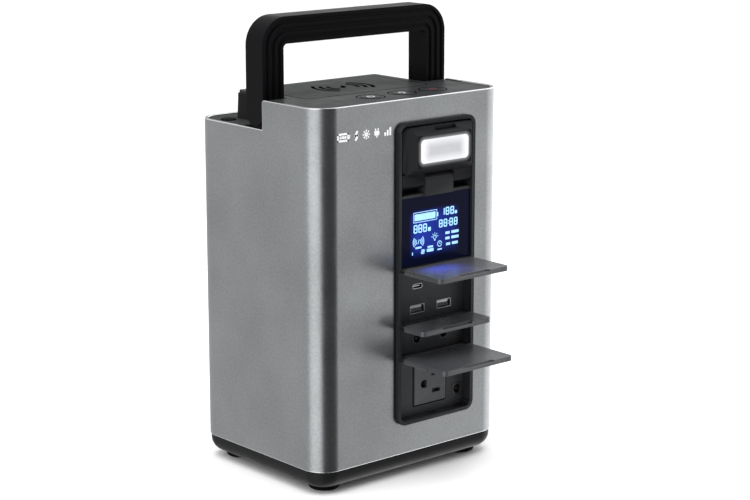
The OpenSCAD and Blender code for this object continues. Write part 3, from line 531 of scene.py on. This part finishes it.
# node: its piece, the radius of its edges in mm, and the steps round an edge
EDGES = {
    "housing_sleeve": ("sleeve", 0.6, 3),
    "bottom_cover": ("base_cover", 0.5, 2),
    "foot_front_left": ("foot_pad_front_left", 0.8, 3),
    "foot_front_right": ("foot_pad_front_right", 0.8, 3),
    "foot_rear_left": ("foot_pad_rear_left", 0.8, 3),
    "foot_rear_right": ("foot_pad_rear_right", 0.8, 3),
    "top_frame": ("tower_moulding", 0.35, 2),
    "top_plate": ("top_cover", 0.25, 2),
    "charging_pad": ("pad_skin", 0.3, 2),
    "deck_cover": ("deck_skin", 0.3, 2),
    "deck_bumpers": ("bumper_skins", 0.4, 3),
    "handle": ("handle_grip", 0.85, 3),
    "button_left": ("keycap_left", 0.3, 2),
    "button_middle": ("keycap_middle", 0.3, 2),
    "button_right": ("keycap_right", 0.3, 2),
    "front_bezel": ("panel_frame", 0.35, 2),
    "port_panel": ("port_face", 0.2, 2),
    "lamp_housing": ("lamp_shell", 0.4, 3),
    "lamp_lens": ("lamp_diffuser_lens", 0.18, 2),
    "lcd_window": ("display_cover", 0.2, 2),
    "door_usb": ("usb_flap", 0.4, 3),
    "door_dc": ("socket_flap", 0.4, 3),
    "door_ac": ("outlet_flap", 0.4, 3),
    "usb_a_left": ("usb_a_shell_left", 0.1, 2),
    "usb_a_right": ("usb_a_shell_right", 0.1, 2),
    "usb_c_left": ("usb_c_shell_left", 0.1, 2),
    "usb_c_right": ("usb_c_shell_right", 0.1, 2),
    "dc_jacks": ("barrel_jacks", 0.2, 2),
    "dc_input": ("input_jack", 0.2, 2),
    "ac_outlet": ("outlet_body", 0.3, 2),
    "rear_grille": ("grille_cover", 0.3, 2),
    "fan_rotor": ("fan_blades", 0.2, 2),
}
for node_name, (piece_name, edge_radius, edge_steps) in EDGES.items():
    softened(piece_name, node_name, edge_radius * MM, edge_steps)


# ---------------------------------------------------------------- display

GLYPH_T = 0.06 * MM
SEGMENTS = {  # from and to, in a cell one wide and two high
    "a": ((0, 2), (1, 2)), "b": ((1, 2), (1, 1)), "c": ((1, 1), (1, 0)), "d": ((0, 0), (1, 0)),
    "e": ((0, 1), (0, 0)), "f": ((0, 2), (0, 1)), "g": ((0, 1), (1, 1)),
}
DIGITS = {"1": "bc", "2": "abged", "8": "abcdefg"}
STROKE_SHARE, STROKE_LEAST = 0.27, 0.55 * MM  # of a digit's width; no thinner than this
STROKE_KEEP = 0.96  # leaves a hair's gap between segments
COLON_STEP, COLON_IN, COLON_HALF = 0.025, 0.004, 0.4

# All places on the display are shares of its lit area: u from the left, v from the top.
# digits, u, v of their top and foot, the width of one and the gap after it
DIGIT_ROWS = (
    ("188", 0.575, 0.09, 0.245, 0.07, 0.016),
    ("888", 0.08, 0.335, 0.5, 0.072, 0.013),
    ("88", 0.54, 0.315, 0.47, 0.068, 0.016),
    (":", 0.706, 0.33, 0.45, 0.02, 0.02),
    ("88", 0.73, 0.315, 0.47, 0.068, 0.016),
    ("1", 0.01, 0.845, 0.925, 0.06, 0.02),
    ("2", 0.215, 0.832, 0.92, 0.07, 0.02),
)
# u and v of the upper left and the lower right corner, and the corner radius in mm
LIT_BARS = {
    "charge": (0.095, 0.135, 0.475, 0.262, 0.5),
    "battery_tip": (0.505, 0.16, 0.525, 0.24, 0.3),
    "percent": (0.83, 0.185, 0.872, 0.245, 0.3),
    "watt": (0.34, 0.42, 0.392, 0.495, 0.3),
    "under_clock": (0.515, 0.875, 0.595, 0.902, 0.2),
    "plug_top": (0.335, 0.785, 0.435, 0.825, 0.3),
    "plug_body": (0.32, 0.838, 0.445, 0.9, 0.6),
    "under_wave": (0.115, 0.765, 0.225, 0.803, 0.3),
}
BATTERY_BOX = (0.08, 0.105, 0.5, 0.292)
# three rows of state bars: v, u of the short bar, u where the long one ends
STATE_ROWS = ((0.57, 0.66, 0.905), (0.675, 0.66, 0.905), (0.79, 0.672, 0.892))
SHORT_BAR, LONG_BAR_AFTER, LONG_BAR_LIFT, BAR_HIGH = 0.078, 0.11, 0.004, 0.05
WAVES_AT, BULB_AT, CLOCK_AT = (0.17, 0.67), (0.465, 0.635), (0.555, 0.78)


def display_point(u, v):
    """Place on the lit area: u from the left, v from the top."""
    return (
        LIT_LOW.x + u * (LIT_HIGH.x - LIT_LOW.x),
        LIT_HIGH.z - v * (LIT_HIGH.z - LIT_LOW.z),
    )


def add_bar(marks, u0, v0, u1, v1, radius=0.3):
    left, top = display_point(u0, v0)
    right, low = display_point(u1, v1)
    marks.bar((left, low), (right, top), radius)


def add_digit(marks, digit, low_left, high_right):
    width, height = high_right[0] - low_left[0], high_right[1] - low_left[1]
    weight = max(width * STROKE_SHARE, STROKE_LEAST)
    for key in DIGITS[digit]:
        ends = [
            (
                low_left[0] + weight / 2 + across * (width - weight),
                low_left[1] + weight / 2 + up / 2 * (height - weight),
            )
            for across, up in SEGMENTS[key]
        ]
        marks.plate(stroke(ends[0], ends[1], weight * STROKE_KEEP))


def add_row(marks, text, u, v_top, v_foot, u_width, gap):
    """Seven-segment digits side by side; a colon is two dots."""
    for letter in text:
        if letter == ":":
            for share in (0.3, 0.7):
                dot = display_point(u + COLON_IN, v_top + share * (v_foot - v_top))
                low, high = (offset(dot, s * COLON_HALF, s * COLON_HALF) for s in (-1, 1))
                marks.bar(low, high, 0.2, 2)
            u += COLON_STEP
            continue
        left, top = display_point(u, v_top)
        right, low = display_point(u + u_width, v_foot)
        add_digit(marks, letter, (left, low), (right, top))
        u += u_width + gap


def add_waves(marks, centre):
    """Sign of wireless charging: waves to both sides of a small slanted bar."""
    for side in (0, 180):
        for radius in (2.2, 3.5, 4.9):
            marks.arc(centre, radius, 0.7, side - 40, side + 40, 8)
    marks.line(offset(centre, -0.7, -1.6), offset(centre, 0.7, 1.6), 0.7)


def add_bulb(marks, centre):
    """Sign of the lamp: a bulb with rays."""
    marks.arc(centre, 1.35, 0.6, -50, 230, 14)
    marks.bar(offset(centre, -0.7, -2.5), offset(centre, 0.7, -1.2), 0.2, 2)
    for degrees in (10, 50, 90, 130, 170):
        marks.line(polar(centre, 2.1, degrees), polar(centre, 3.3, degrees), 0.45)


def add_clock(marks, centre):
    marks.arc(centre, 1.9, 0.6, 0, 345, 20)
    marks.line(centre, offset(centre, 0, 1.3), 0.4)
    marks.line(centre, offset(centre, 1.0, 0), 0.4)


def build_display():
    marks = Marks(WINDOW_LOW.y - GLYPH_T, WINDOW_LOW.y, Y_AXIS)
    left, top = display_point(*BATTERY_BOX[:2])
    right, low = display_point(*BATTERY_BOX[2:])
    for a, b in (((left, top), (right, top)), ((left, low), (right, low)),
                 ((left, low), (left, top)), ((right, low), (right, top))):
        marks.line(a, b, 0.45)
    for bar in LIT_BARS.values():
        add_bar(marks, *bar)
    for row in DIGIT_ROWS:
        add_row(marks, *row)
    add_waves(marks, display_point(*WAVES_AT))
    add_bulb(marks, display_point(*BULB_AT))
    add_clock(marks, display_point(*CLOCK_AT))
    for v, u0, u1 in STATE_ROWS:
        add_bar(marks, u0, v, u0 + SHORT_BAR, v + BAR_HIGH, 0.3)
        add_bar(marks, u0 + LONG_BAR_AFTER, v - LONG_BAR_LIFT, u1, v + BAR_HIGH, 0.4)
    marks.finish("display_glyphs", "base", "glyph_cyan")


build_display()


# ---------------------------------------------------------------- marks on the top, and painted shade round the buttons

PRINT_T = 0.05 * MM
WAVE_RADII, WAVE_WIDTH = (11, 16.2, 21.6), 2.7
BOLT = ((-3, -7.2), (1.2, 0.6), (-3.6, -0.6), (3, 7.2), (-1.2, -0.6), (3.6, 0.6))
OUTLINE_WIDTH, OUTLINE_CORNER = 0.55, 5
DASH_GAP, DASH_HALF, DASH_SHIFT = 1.9, 0.9, 1.2
# round each button a dark ring: painted shade where the gap and the keycap's edge lie in shade,
# drawn in the ink's black
SHADE_RING_BEYOND, SHADE_RING_WIDTH = 0.35, 0.85
BUTTONS = ("left", "middle", "right")


def middle_of(low, high):
    return (low.x + high.x) / 2, (low.y + high.y) / 2


def build_charging_mark():
    """Waves to both sides of a bolt, and the outline of the pad's front and sides."""
    low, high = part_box("charging_pad")
    centre = offset(middle_of(low, high), 1.2, 0)
    marks = Marks(high.z, high.z + PRINT_T, Z_AXIS)
    for side in (0, 180):
        for radius in WAVE_RADII:
            span = 40 if radius == WAVE_RADII[0] else 44
            marks.arc(centre, radius, WAVE_WIDTH, side - span, side + span, 16)
    for half in (BOLT[:3], BOLT[3:]):
        marks.plate([offset(centre, *point) for point in half])
    marks.line(offset(centre, -3, 0), offset(centre, 3, 0), 1.6)
    corner = OUTLINE_CORNER
    front_left, front_right = (low.x, low.y), (high.x, low.y)
    rear_left, rear_right = (low.x, high.y), (high.x, high.y)
    for a, b in (
        (offset(front_left, corner, 0), offset(front_right, -corner, 0)),
        (offset(front_left, 0, corner), offset(rear_left, 0, -corner)),
        (offset(front_right, 0, corner), offset(rear_right, 0, -corner)),
    ):
        marks.line(a, b, OUTLINE_WIDTH)
    for point, inward, start in ((front_left, corner, 180), (front_right, -corner, 270)):
        marks.arc(offset(point, inward, corner), corner, OUTLINE_WIDTH, start, start + 90, 10)
    marks.finish("charging_mark", "base", "print_black")


def build_button_marks():
    """Power sign, bulb and three heat bars, each riding on its button."""
    for name in BUTTONS:
        low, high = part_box("button_" + name)
        centre = middle_of(low, high)
        marks = Marks(high.z, high.z + PRINT_T, Z_AXIS)
        if name == "left":
            marks.arc(centre, 2.6, 0.7, -235, 55, 18)
            marks.line(offset(centre, 0, 0.6), offset(centre, 0, 3.6), 0.7)
        elif name == "middle":
            marks.arc(offset(centre, 0, 0.6), 1.9, 0.7, -50, 230, 16)
            for v in (-2.1, -3.1):
                marks.line(offset(centre, -1, v), offset(centre, 1, v), 0.6)
        else:
            for u in (-2.4, 0, 2.4):
                marks.line(offset(centre, u, -2), offset(centre, u, 2), 0.8)
        colour = "glyph_red" if name == "right" else "glyph_white"
        marks.finish("button_mark_" + name, NODE_BODY["button_" + name], colour)


def build_top_marks():
    """Small printed dashes between the second and the third button, and round each button a dark
    ring of painted shade, for the shade of its gap and edge.
    """
    low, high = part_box("button_middle")
    plate_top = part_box("top_plate")[1].z
    marks = Marks(plate_top, plate_top + PRINT_T, Z_AXIS)
    between = ((high.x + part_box("button_right")[0].x) / 2, (low.y + high.y) / 2)
    for i in range(4):
        dash = offset(between, (i - 1.5) * DASH_GAP, DASH_SHIFT if i % 2 else -DASH_SHIFT)
        marks.line(offset(dash, 0, -DASH_HALF), offset(dash, 0, DASH_HALF), 0.8)
    for name in BUTTONS:
        low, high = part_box("button_" + name)
        # a dark ring over the gap round the keycap: painted shade
        shade_ring_radius = (high.x - low.x) / 2 / MM + SHADE_RING_BEYOND
        for start in range(0, 360, 90):
            marks.arc(middle_of(low, high), shade_ring_radius, SHADE_RING_WIDTH, start, start + 90, 16)
    marks.finish("top_print_and_shade_rings", "base", "print_black")


# ---------------------------------------------------------------- pictograms on the front

PICTOGRAMS_IN, PICTOGRAMS_DOWN = 16.6, 20.6  # from the sleeve's left and top, in mm
BATTERY_LONG, BATTERY_HALF, BATTERY_WALL = 9.8, 2.9, 1.3
BOLT_IN, SUN_IN, PLUG_IN, BARS_IN = 16.7, 25.3, 34.6, 41.2  # each one's place along the row


def build_front_mark():
    """Generic pictograms printed on the sleeve: battery, bolt, sun, plug and rising bars."""
    low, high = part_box("housing_sleeve")
    start = offset((low.x, high.z), PICTOGRAMS_IN, -PICTOGRAMS_DOWN)
    marks = Marks(low.y - PRINT_T, low.y + PRINT_T, Y_AXIS)

    def bar(centre, u0, v0, u1, v1, radius=0.3):
        marks.bar(offset(centre, u0, v0), offset(centre, u1, v1), radius)

    def line(centre, u0, v0, u1, v1, width):
        marks.line(offset(centre, u0, v0), offset(centre, u1, v1), width)

    half = BATTERY_HALF
    bar(start, 0, half - BATTERY_WALL, BATTERY_LONG, half)
    bar(start, 0, -half, BATTERY_LONG, BATTERY_WALL - half)
    bar(start, 0, -half, 1.2, half)
    bar(start, BATTERY_LONG - 1.2, -half, BATTERY_LONG, half)
    bar(start, BATTERY_LONG + 0.2, -1.2, BATTERY_LONG + 1.2, 1.2)
    for i in range(3):
        bar(start, 2.1 + 2 * i, -0.9, 3.7 + 2 * i, 0.9)

    bolt = offset(start, BOLT_IN, 0)
    line(bolt, 0.9, 3.2, -1.5, -0.5, 1.6)
    line(bolt, -1.7, 0, 1.7, 0.3, 1.4)
    line(bolt, 1.5, 0.6, -0.9, -3.2, 1.6)

    sun = offset(start, SUN_IN, 0)
    marks.arc(sun, 0.9, 1.3, 0, 350, 16)
    for i in range(8):
        marks.line(polar(sun, 2, 45 * i), polar(sun, 3.2, 45 * i), 1)

    plug = offset(start, PLUG_IN, 0)
    bar(plug, -2.2, -1.7, 2.2, 1.7, 0.9)
    line(plug, -1.2, 1.4, -1.2, 3.1, 1.1)
    line(plug, 1.2, 1.4, 1.2, 3.1, 1.1)
    line(plug, 0, -3.1, 0, -1.5, 1.1)

    bars = offset(start, BARS_IN, 0)
    for i in range(3):
        bar(bars, 2.3 * i, -2.8, 1.6 + 2.3 * i, -0.4 + 1.6 * i)
    marks.finish("front_pictograms", "base", "print_white")


build_charging_mark()
build_button_marks()
build_top_marks()
build_front_mark()


# ---------------------------------------------------------------- inside the ports

TONGUE_HALF_WIDTH, TONGUE_LOW, TONGUE_TOP = 5.7, -2.08, -0.22
CONTACT_PITCH, CONTACT_HALF = 2.4, 0.5
BLADE_FROM_MIDDLE = 6.35  # half the spacing of a mains outlet's two blades
STRIP_GAP_HALF, STRIP_HALF = 0.95, 0.25  # the two strips that grip one blade
STRIP_FROM, STRIP_TO = 3, 9.2  # along the slot, from the outlet's middle
STRIP_FRONT, STRIP_BACK = 3 * MM, 14 * MM  # behind the outlet's face


def build_usb_details():
    """The tongue in each USB-A mouth and its four contacts."""
    low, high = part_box("usb_a_left")
    mouth, back = low.y + 1.4 * MM, high.y - 0.6 * MM
    tongues = Marks(mouth, back, Y_AXIS)
    contacts = Marks(mouth + 0.1 * MM, back - 1 * MM, Y_AXIS)
    for side in ("left", "right"):
        low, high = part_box("usb_a_" + side)
        centre = ((low.x + high.x) / 2, (low.z + high.z) / 2)
        tongues.bar(
            offset(centre, -TONGUE_HALF_WIDTH, TONGUE_LOW),
            offset(centre, TONGUE_HALF_WIDTH, TONGUE_TOP), 0.25, 2,
        )
        for i in (-1.5, -0.5, 0.5, 1.5):
            at = offset(centre, i * CONTACT_PITCH, 0)
            contacts.bar(
                offset(at, -CONTACT_HALF, -0.3), offset(at, CONTACT_HALF, -0.1), 0.06, 2
            )
    tongues.finish("usb_tongues", "base", "socket_black")
    contacts.finish("usb_contacts", "base", "contact_metal")


def build_outlet_details():
    """A pair of contact strips behind each blade slot."""
    low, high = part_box("ac_outlet")
    centre = ((low.x + high.x) / 2, (low.z + high.z) / 2)
    contacts = Marks(low.y + STRIP_FRONT, low.y + STRIP_BACK, Y_AXIS)
    for side in (-1, 1):
        for gap in (-STRIP_GAP_HALF, STRIP_GAP_HALF):
            at = offset(centre, 0, side * BLADE_FROM_MIDDLE + gap)
            contacts.bar(
                offset(at, STRIP_FROM, -STRIP_HALF), offset(at, STRIP_TO, STRIP_HALF), 0.1, 2
            )
    # the strips' dark colour is partly painted shade of the deep slots
    contacts.finish("outlet_contacts", "base", "contact_dull")


build_usb_details()
build_outlet_details()


# ---------------------------------------------------------------- studio

# the camera stands where the photograph was taken from, on the object's scale
AIM = Vector((0.0136, 0.0117, 0.1512))
EYE = Vector((-0.9139, -1.0625, 0.4698))
LENS_MM, SENSOR_MM = 97.2, 36
FLOOR_RADIUS, FLOOR_SIDES = 6, 96
SURROUND_STRENGTH = 3.4
# compass angle in degrees from -X through -Y to +X, and brightness
SURROUND = (
    (0, 0.62), (30, 0.62), (43, 0.5), (49, 0.038), (121, 0.038), (127, 0.35),
    (142, 0.38), (152, 0.57), (178, 0.62), (208, 0.6), (217, 0.38), (226, 0.2), (300, 0.27),
    (344, 0.27), (352, 0.6), (359.9, 0.62),
)
OVERHEAD_AT, OVERHEAD_SIZE, OVERHEAD_POWER = Vector((-0.2, -0.2, 1.6)), (1.6, 1.6), 26
OVERHEAD_AIM = Vector((0, 0, 0.15))
# the display's light on the door below it, from a small strip in front of the lit area
SPILL_AT = Vector((LIT_LOW.x + 16 * MM, WINDOW_LOW.y - 6 * MM, LIT_LOW.z + 14 * MM))
SPILL_AIM = SPILL_AT + Vector((0, -14 * MM, -20 * MM))
SPILL_SIZE, SPILL_POWER, SPILL_SPREAD = (26 * MM, 4 * MM), 0.013, 75
SPILL_COLOUR = (0.05, 0.09, 1.0)


def pointed_at(place, aim):
    return (aim - place).to_track_quat("-Z", "Y").to_euler()


def build_camera():
    data = bpy.data.cameras.new("camera")
    data.lens = LENS_MM
    data.sensor_width = SENSOR_MM
    data.dof.use_dof = False
    camera = bpy.data.objects.new("camera", data)
    bpy.context.scene.collection.objects.link(camera)
    camera.location = EYE
    camera.rotation_euler = pointed_at(EYE, AIM)
    bpy.context.scene.camera = camera


def build_floor():
    mesh = bpy.data.meshes.new("floor")
    shape = bmesh.new()
    bmesh.ops.create_circle(shape, cap_ends=True, segments=FLOOR_SIDES, radius=FLOOR_RADIUS)
    shape.to_mesh(mesh)
    shape.free()
    n = Nodes("floor_white")
    n.feed(
        Roughness=n.remap(n.noise(1.5, 2), 0.52, 0.58),
        Base_Color=(0.93, 0.93, 0.93),
        Specular_IOR_Level=0.1,
    )
    mesh.materials.append(n.material)
    floor = bpy.data.objects.new("floor", mesh)
    floor.visible_glossy = False
    bpy.context.scene.collection.objects.link(floor)


def build_world():
    """Studio surround: its brightness changes with the compass direction, as between softboxes.

    The camera sees plain white behind the object.
    """
    world = bpy.data.worlds.new("studio")
    world.use_nodes = True
    tree = world.node_tree
    background = tree.nodes["Background"]
    output = tree.nodes["World Output"]
    place = tree.nodes.new("ShaderNodeTexCoord").outputs["Generated"]
    split = tree.nodes.new("ShaderNodeSeparateXYZ")
    tree.links.new(place, split.inputs[0])
    turn = tree.nodes.new("ShaderNodeMath")
    turn.operation = "ARCTAN2"
    tree.links.new(split.outputs["Y"], turn.inputs[0])
    tree.links.new(split.outputs["X"], turn.inputs[1])
    share = tree.nodes.new("ShaderNodeMapRange")
    share.inputs["From Min"].default_value = -math.pi
    share.inputs["From Max"].default_value = math.pi
    tree.links.new(turn.outputs[0], share.inputs["Value"])
    ramp = tree.nodes.new("ShaderNodeValToRGB")
    tree.links.new(share.outputs["Result"], ramp.inputs["Fac"])
    stops = ramp.color_ramp.elements
    while len(stops) > 1:
        stops.remove(stops[0])
    stops[0].position = 0.0
    for angle, level in SURROUND:
        stop = stops.new(angle / 360) if angle else stops[0]
        stop.color = (level, level, level, 1)
    tree.links.new(ramp.outputs["Color"], background.inputs["Color"])
    background.inputs["Strength"].default_value = SURROUND_STRENGTH
    seen = tree.nodes.new("ShaderNodeBackground")
    seen.inputs["Color"].default_value = (1, 1, 1, 1)
    seen.inputs["Strength"].default_value = 1.0
    path = tree.nodes.new("ShaderNodeLightPath")
    choose = tree.nodes.new("ShaderNodeMixShader")
    tree.links.new(path.outputs["Is Camera Ray"], choose.inputs["Fac"])
    tree.links.new(background.outputs[0], choose.inputs[1])
    tree.links.new(seen.outputs[0], choose.inputs[2])
    tree.links.new(choose.outputs[0], output.inputs["Surface"])
    bpy.context.scene.world = world


def area_light(name, place, size, power, aim, colour=(1, 1, 1), spread=180):
    """A soft light that is seen neither directly nor as a highlight."""
    data = bpy.data.lights.new(name, "AREA")
    data.shape = "RECTANGLE"
    data.size, data.size_y = size
    data.energy = power
    data.color = colour
    data.spread = math.radians(spread)
    light = bpy.data.objects.new(name, data)
    light.location = place
    light.rotation_euler = pointed_at(place, aim)
    light.visible_glossy = False
    light.visible_camera = False
    bpy.context.scene.collection.objects.link(light)


build_camera()
build_floor()
build_world()
area_light("overhead", OVERHEAD_AT, OVERHEAD_SIZE, OVERHEAD_POWER, OVERHEAD_AIM)
area_light(
    "display_spill", SPILL_AT, SPILL_SIZE, SPILL_POWER, SPILL_AIM, SPILL_COLOUR, SPILL_SPREAD
)
bpy.context.scene.view_settings.view_transform = "Standard"
